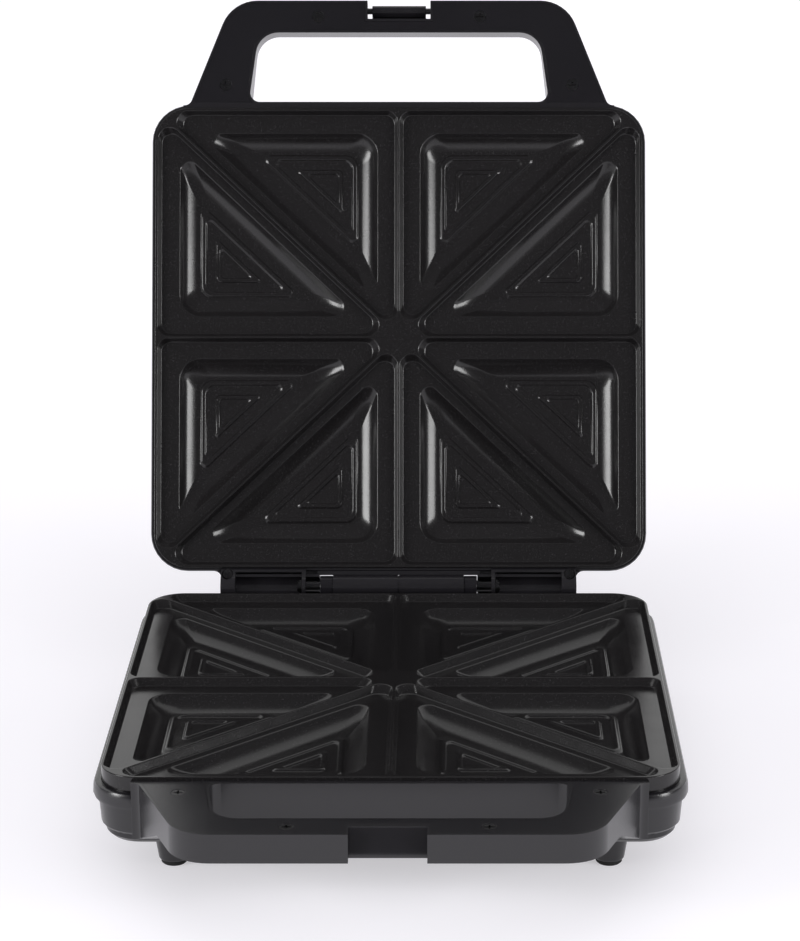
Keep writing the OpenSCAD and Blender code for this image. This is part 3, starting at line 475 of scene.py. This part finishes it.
def cell_rings():
    """A cell's section from its rounded land edge down the slope to a small fillet at its foot."""
    widest = cell_slope + 0.44 * mm
    section = ((0.44, 0), (0.3, 0.02), (0.14, 0.08), (0, 0.2), (-0.18, 0.5))
    rings = [([0] * 3, 1 * mm)]
    rings += [([(0.44 - out) * mm] * 3, -down * mm) for out, down in section]
    foot = ((0.26, 0.62), (0.1, 0.3), (-0.1, 0.11), (-0.34, 0.02), (-0.6, 0))
    rings += [([widest - out * mm] * 3, -ledge_drop + up * mm) for out, up in foot]
    return widest, rings


def cooking_plate(name):
    """A rounded block, hollowed below, with eight pans under it and its cells and pockets cut out."""
    plate = slab(name, plate_half, plate_r, -skirt_h, 0)
    pick_faces(plate, lambda centre, normal: normal.z > 0.9)
    bpy.ops.mesh.bevel(offset=rim_edge_r, segments=4, profile=0.5)
    bpy.ops.object.mode_set(mode="OBJECT")
    hollow = slab("hollow", [h - skirt_t for h in plate_half], plate_r - skirt_t, -skirt_h - 20 * mm,
                  -ledge_drop - web_t)
    combine(plate, hollow, "DIFFERENCE")
    pans = eight_of((side_pocket(), end_pocket()), lambda corners: stack(
        "pan", moved_in(corners, [-pan_margin] * 3), pan_corner_r,
        [([0] * 3, -ledge_drop - web_t / 2), ([0] * 3, -ledge_drop - pocket_depth + 1.5 * mm),
         ([3.4 * mm] * 3, -ledge_drop - pocket_depth - 1 * mm),
         ([3.6 * mm] * 3, -ledge_drop - pocket_depth - pan_t)]))
    combine(plate, pans, "UNION")
    widest, rings = cell_rings()
    cells = eight_of((side_cell(), end_cell()), lambda corners: stack(
        "cell", moved_in(corners, [-widest] * 3), [cell_r + widest] * 3, rings, steps=9))
    combine(plate, cells, "DIFFERENCE")
    cutters = eight_of((side_pocket(), end_pocket()), lambda corners: stack(
        "pocket", moved_in(corners, [-pocket_margin] * 3), pocket_cut_r,
        [([m + pocket_margin for m in moves], z) for moves, z in wall_rings()]))
    combine(plate, cutters, "DIFFERENCE")
    only(plate)
    bpy.ops.object.mode_set(mode="EDIT")
    bpy.ops.mesh.select_all(action="SELECT")
    bpy.ops.mesh.remove_doubles(threshold=weld_gap)
    bpy.ops.mesh.dissolve_degenerate(threshold=0.004 * mm)
    bpy.ops.object.mode_set(mode="OBJECT")
    return plate


def nonstick_coat():
    """Black coating: soft gloss, faint mottling and sparse pale specks."""
    coat = bpy.data.materials.new("nonstick_coat")
    coat.use_nodes = True
    tree = coat.node_tree
    shader = tree.nodes["Principled BSDF"]
    shader.inputs["Specular IOR Level"].default_value = 0.45
    place = tree.nodes.new("ShaderNodeTexCoord")
    mottle = tree.nodes.new("ShaderNodeTexNoise")
    mottle.inputs["Scale"].default_value = 90
    mottle.inputs["Detail"].default_value = 5
    tree.links.new(place.outputs["Object"], mottle.inputs["Vector"])
    specks = tree.nodes.new("ShaderNodeTexNoise")
    specks.inputs["Scale"].default_value = 1500
    specks.inputs["Detail"].default_value = 2
    tree.links.new(place.outputs["Object"], specks.inputs["Vector"])
    sparse = tree.nodes.new("ShaderNodeValToRGB")
    sparse.color_ramp.elements[0].position = 0.62
    sparse.color_ramp.elements[1].position = 0.74
    tree.links.new(specks.outputs["Fac"], sparse.inputs[0])
    tint = tree.nodes.new("ShaderNodeMix")
    tint.data_type = "RGBA"
    tint.inputs[6].default_value = (0.0105, 0.0098, 0.0102, 1)
    tint.inputs[7].default_value = (0.034, 0.032, 0.034, 1)
    tree.links.new(sparse.outputs[0], tint.inputs[0])
    tree.links.new(tint.outputs[2], shader.inputs["Base Color"])
    polish = tree.nodes.new("ShaderNodeMapRange")
    polish.inputs["To Min"].default_value = 0.15
    polish.inputs["To Max"].default_value = 0.25
    tree.links.new(mottle.outputs["Fac"], polish.inputs["Value"])
    tree.links.new(polish.outputs[0], shader.inputs["Roughness"])
    grain = tree.nodes.new("ShaderNodeBump")
    grain.inputs["Strength"].default_value = 0.18
    grain.inputs["Distance"].default_value = 0.00006
    tree.links.new(specks.outputs["Fac"], grain.inputs["Height"])
    tree.links.new(grain.outputs[0], shader.inputs["Normal"])
    return coat


coat = nonstick_coat()
lower_plate = cooking_plate("lower_cooking_plate")
upper_plate = lower_plate.copy()
upper_plate.data = lower_plate.data.copy()
upper_plate.name = "upper_cooking_plate"
bpy.context.scene.collection.objects.link(upper_plate)
for piece, place, body, node in ((lower_plate, base_place, "base", "lower_plate"),
                                 (upper_plate, lid_place, "lid", "upper_plate")):
    seat(piece, place)
    smooth(piece, 30)
    piece.data.materials.clear()
    piece.data.materials.append(coat)
    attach(piece, body)
    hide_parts(node)


# ---- housings, handle covers and latch ----
# Injection-moulded black plastic. Each is taken from its solid, with the moulding's small
# radii added to every edge.
def moulding(node, name, edge=0.4 * mm, segments=3, angle=32, keep=34):
    """A copy of a solid, merged, with rounded edges."""
    source = frame["nodes"][node]
    piece = source.copy()
    piece.data = source.data.copy()
    for key in list(piece.keys()):
        del piece[key]
    piece.parent = None
    piece.name = name
    bpy.context.scene.collection.objects.link(piece)
    only(piece)
    bpy.ops.object.mode_set(mode="EDIT")
    bpy.ops.mesh.select_all(action="SELECT")
    bpy.ops.mesh.remove_doubles(threshold=0.01 * mm)
    bpy.ops.mesh.dissolve_limited(angle_limit=math.radians(0.6))
    bpy.ops.object.mode_set(mode="OBJECT")
    if edge:
        round_off = piece.modifiers.new("round_off", "BEVEL")
        round_off.width = edge
        round_off.segments = segments
        round_off.limit_method = "ANGLE"
        round_off.angle_limit = math.radians(angle)
        round_off.use_clamp_overlap = True
        round_off.miter_outer = "MITER_ARC"
        apply_modifiers(piece)
    smooth(piece, keep)
    piece.data.materials.clear()
    return piece


def moulded_black(name, colour, gloss, specular, grain_scale, grain_depth):
    """Black plastic with a fine moulded grain and a slow drift in its gloss."""
    paint = bpy.data.materials.new(name)
    paint.use_nodes = True
    tree = paint.node_tree
    shader = tree.nodes["Principled BSDF"]
    shader.inputs["Specular IOR Level"].default_value = specular
    place = tree.nodes.new("ShaderNodeTexCoord")
    drift = tree.nodes.new("ShaderNodeTexNoise")
    drift.inputs["Scale"].default_value = 22
    drift.inputs["Detail"].default_value = 4
    tree.links.new(place.outputs["Object"], drift.inputs["Vector"])
    shade = tree.nodes.new("ShaderNodeMix")
    shade.data_type = "RGBA"
    shade.inputs[6].default_value = (*[c * 0.85 for c in colour], 1)
    shade.inputs[7].default_value = (*[c * 1.15 for c in colour], 1)
    tree.links.new(drift.outputs["Fac"], shade.inputs[0])
    tree.links.new(shade.outputs[2], shader.inputs["Base Color"])
    polish = tree.nodes.new("ShaderNodeMapRange")
    polish.inputs["To Min"].default_value = gloss[0]
    polish.inputs["To Max"].default_value = gloss[1]
    tree.links.new(drift.outputs["Fac"], polish.inputs["Value"])
    tree.links.new(polish.outputs[0], shader.inputs["Roughness"])
    grain = tree.nodes.new("ShaderNodeTexNoise")
    grain.inputs["Scale"].default_value = grain_scale
    grain.inputs["Detail"].default_value = 2
    tree.links.new(place.outputs["Object"], grain.inputs["Vector"])
    relief = tree.nodes.new("ShaderNodeBump")
    relief.inputs["Strength"].default_value = 0.25
    relief.inputs["Distance"].default_value = grain_depth
    tree.links.new(grain.outputs["Fac"], relief.inputs["Height"])
    tree.links.new(relief.outputs[0], shader.inputs["Normal"])
    return paint


housing_black = moulded_black("housing_black", (0.011, 0.0103, 0.0122), (0.2, 0.3), 0.6, 900, 0.00004)
handle_black = moulded_black("handle_black", (0.0085, 0.0079, 0.0098), (0.2, 0.28), 0.5, 1300, 0.00007)

for node, name, body, paint, edge in (
        ("base_housing", "base_shell", "base", housing_black, 0.5 * mm),
        ("lid_housing", "lid_shell", "lid", housing_black, 0.5 * mm),
        ("lower_handle_cover", "lower_grip_cover", "base", handle_black, 0.3 * mm),
        ("upper_handle_cover", "upper_grip_cover", "lid", handle_black, 0.3 * mm),
        ("latch", "latch_clip", "latch", housing_black, 0.5 * mm),
        ("base_bottom_cover", "vented_bottom", "base", handle_black, 0.4 * mm),
        ("front_feet", "front_legs", "base", housing_black, 0.3 * mm),
        ("rear_feet", "rear_legs", "base", housing_black, 0.3 * mm),
        ("hinge_bushes", "hinge_collars", "base", handle_black, 0.4 * mm)):
    piece = moulding(node, name, edge)
    piece.data.materials.append(paint)
    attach(piece, body)
    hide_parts(node)

# ---- backs of the hinge arms ----
# Behind the hinge pin each lid arm is closed by a curved web, moulded with the lid in the same
# black plastic. It turns round the pin with the lid and shuts the gap beside the collar.
def round_bar(radius, x0, x1):
    """A bar along the hinge axis."""
    bpy.ops.object.select_all(action="DESELECT")
    bpy.ops.mesh.primitive_cylinder_add(vertices=64, radius=radius, depth=x1 - x0,
                                        location=((x0 + x1) / 2, hinge_y, rim_gap / 2),
                                        rotation=(0, math.pi / 2, 0))
    bar = bpy.context.object
    bpy.ops.object.transform_apply(location=True, rotation=True, scale=True)
    return bar


def block(x0, x1, y0, y1, z0, z1):
    """A plain block between two corners."""
    bpy.ops.object.select_all(action="DESELECT")
    bpy.ops.mesh.primitive_cube_add(size=1, location=((x0 + x1) / 2, (y0 + y1) / 2, (z0 + z1) / 2))
    made = bpy.context.object
    made.scale = (x1 - x0, y1 - y0, z1 - z0)
    bpy.ops.object.transform_apply(location=True, rotation=True, scale=True)
    return made


web_out, web_in = 6.3 * mm, 4.9 * mm
web_x0, web_x1 = 41.5 * mm, 86.5 * mm
arm_inner = 49 * mm
web_reach = 9 * mm
axis_z = rim_gap / 2
arm_back = round_bar(web_out, web_x0, web_x1)
combine(arm_back, round_bar(web_in, web_x0 - mm, web_x1 + mm), "DIFFERENCE")
front = block(web_x0 - mm, web_x1 + mm, hinge_y - web_reach, hinge_y + web_reach, axis_z, web_reach)
combine(arm_back, front, "DIFFERENCE")
strip = block(web_x0, arm_inner, hinge_y - web_reach, hinge_y - mm, axis_z - web_out, axis_z - web_in)
combine(arm_back, strip, "UNION")
arm_backs = joined([mirrored(arm_back, -1, 1), arm_back], "hinge_arm_backs")
seat(arm_backs, lid_place)
smooth(arm_backs, 34)
arm_backs.data.materials.append(housing_black)
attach(arm_backs, "lid")

# ---- hinge pin, latch pin, clips and screws ----
# Turned steel pins, pressed clips and cross-headed screws, all chemically blackened, so that
# only their edges and a fine lengthwise grain catch the light.
def worked_metal(name, dark, pale, polish, grain_size, grain_depth):
    """Metal whose grain runs along x, with slow clouding of colour and gloss."""
    paint = bpy.data.materials.new(name)
    paint.use_nodes = True
    tree = paint.node_tree
    shader = tree.nodes["Principled BSDF"]
    shader.inputs["Metallic"].default_value = 1
    place = tree.nodes.new("ShaderNodeTexCoord")
    stretch = tree.nodes.new("ShaderNodeMapping")
    stretch.inputs["Scale"].default_value = (0.06, 1, 1)
    tree.links.new(place.outputs["Object"], stretch.inputs["Vector"])
    grain = tree.nodes.new("ShaderNodeTexNoise")
    grain.inputs["Scale"].default_value = grain_size
    grain.inputs["Detail"].default_value = 3
    tree.links.new(stretch.outputs[0], grain.inputs["Vector"])
    cloud = tree.nodes.new("ShaderNodeTexNoise")
    cloud.inputs["Scale"].default_value = 60
    cloud.inputs["Detail"].default_value = 4
    tree.links.new(place.outputs["Object"], cloud.inputs["Vector"])
    shade = tree.nodes.new("ShaderNodeMix")
    shade.data_type = "RGBA"
    shade.inputs[6].default_value = (*dark, 1)
    shade.inputs[7].default_value = (*pale, 1)
    tree.links.new(cloud.outputs["Fac"], shade.inputs[0])
    tree.links.new(shade.outputs[2], shader.inputs["Base Color"])
    gloss = tree.nodes.new("ShaderNodeMapRange")
    gloss.inputs["To Min"].default_value = polish[0]
    gloss.inputs["To Max"].default_value = polish[1]
    tree.links.new(grain.outputs["Fac"], gloss.inputs["Value"])
    tree.links.new(gloss.outputs[0], shader.inputs["Roughness"])
    relief = tree.nodes.new("ShaderNodeBump")
    relief.inputs["Strength"].default_value = 0.2
    relief.inputs["Distance"].default_value = grain_depth
    tree.links.new(grain.outputs["Fac"], relief.inputs["Height"])
    tree.links.new(relief.outputs[0], shader.inputs["Normal"])
    return paint


def dress(paint, *nodes):
    """Gives solids that keep their own shape a finish."""
    for node in nodes:
        for finish in frame["nodes"][node].material_slots:
            finish.material = paint


dress(worked_metal("blackened_steel", (0.03, 0.03, 0.032), (0.16, 0.158, 0.162), (0.18, 0.4),
                   700, 0.00003),
      "hinge_pin", "latch_pin", "hinge_clips", "lower_handle_screws", "upper_handle_screws",
      "hinge_arm_screws", "bottom_cover_screws", "lower_shield_screws", "upper_shield_screws")

# ---- heaters, clamps and heat shields ----
# Steel-sheathed tubes oxidised by their own heat, held by bright spring clamps, over pressed
# shields of aluminised sheet with its faint rolling lines.
dress(worked_metal("heat_tinted_steel", (0.16, 0.13, 0.11), (0.34, 0.31, 0.29), (0.34, 0.52),
                   500, 0.00004),
      "lower_heating_element", "upper_heating_element")
dress(worked_metal("clamp_steel", (0.36, 0.36, 0.37), (0.5, 0.5, 0.51), (0.24, 0.36), 600, 0.00003),
      "lower_element_clamps", "upper_element_clamps")
dress(worked_metal("aluminised_sheet", (0.5, 0.5, 0.5), (0.64, 0.64, 0.65), (0.28, 0.44), 320, 0.00003),
      "lower_heat_shield", "upper_heat_shield")

# ---- foot pads, cord gland and electrical parts ----
# Soft rubber pads, a nylon gland, a phenolic thermostat, unglazed ceramic for the fuse and the
# terminal block, and the pale nylon bracket behind the lamps.
dress(moulded_black("pad_rubber", (0.016, 0.016, 0.016), (0.7, 0.86), 0.3, 1100, 0.00009), "foot_pads")
dress(moulded_black("gland_nylon", (0.014, 0.0135, 0.0145), (0.4, 0.52), 0.45, 1000, 0.00005),
      "cable_gland")
dress(moulded_black("brown_phenolic", (0.12, 0.07, 0.04), (0.34, 0.5), 0.45, 700, 0.00006), "thermostat")
dress(moulded_black("fired_ceramic", (0.8, 0.78, 0.73), (0.5, 0.66), 0.4, 800, 0.00006),
      "thermal_fuse", "terminal_block")
dress(moulded_black("pale_nylon", (0.66, 0.64, 0.57), (0.4, 0.54), 0.45, 900, 0.00005), "lamp_holder")


# ---- lamp lenses ----
# Two small domes of tinted acrylic on the lid's top, red for power and green for ready. Inside,
# fine prisms scatter the lamp's light; that scatter is painted into the tint as paler cell centres among
# deeper cell edges, so they look deep but not clear.
def lens_acrylic(name, deep, light):
    acrylic = bpy.data.materials.new(name)
    acrylic.use_nodes = True
    tree = acrylic.node_tree
    shader = tree.nodes["Principled BSDF"]
    shader.inputs["IOR"].default_value = 1.49
    shader.inputs["Transmission Weight"].default_value = 0.35
    place = tree.nodes.new("ShaderNodeTexCoord")
    prisms = tree.nodes.new("ShaderNodeTexVoronoi")
    prisms.inputs["Scale"].default_value = 900
    tree.links.new(place.outputs["Object"], prisms.inputs["Vector"])
    # Painted glints of the prisms: the tint is paler at each small cell's centre and deeper at its edges.
    shade = tree.nodes.new("ShaderNodeMix")
    shade.data_type = "RGBA"
    shade.inputs[6].default_value = (*light, 1)
    shade.inputs[7].default_value = (*deep, 1)
    tree.links.new(prisms.outputs["Distance"], shade.inputs[0])
    tree.links.new(shade.outputs[2], shader.inputs["Base Color"])
    gloss = tree.nodes.new("ShaderNodeMapRange")
    gloss.inputs["To Min"].default_value = 0.06
    gloss.inputs["To Max"].default_value = 0.16
    tree.links.new(prisms.outputs["Distance"], gloss.inputs["Value"])
    tree.links.new(gloss.outputs[0], shader.inputs["Roughness"])
    return acrylic


dress(lens_acrylic("red_acrylic", (0.22, 0.008, 0.006), (0.55, 0.03, 0.02)), "power_lamp_lens")
dress(lens_acrylic("green_acrylic", (0.008, 0.16, 0.02), (0.03, 0.4, 0.06)), "ready_lamp_lens")
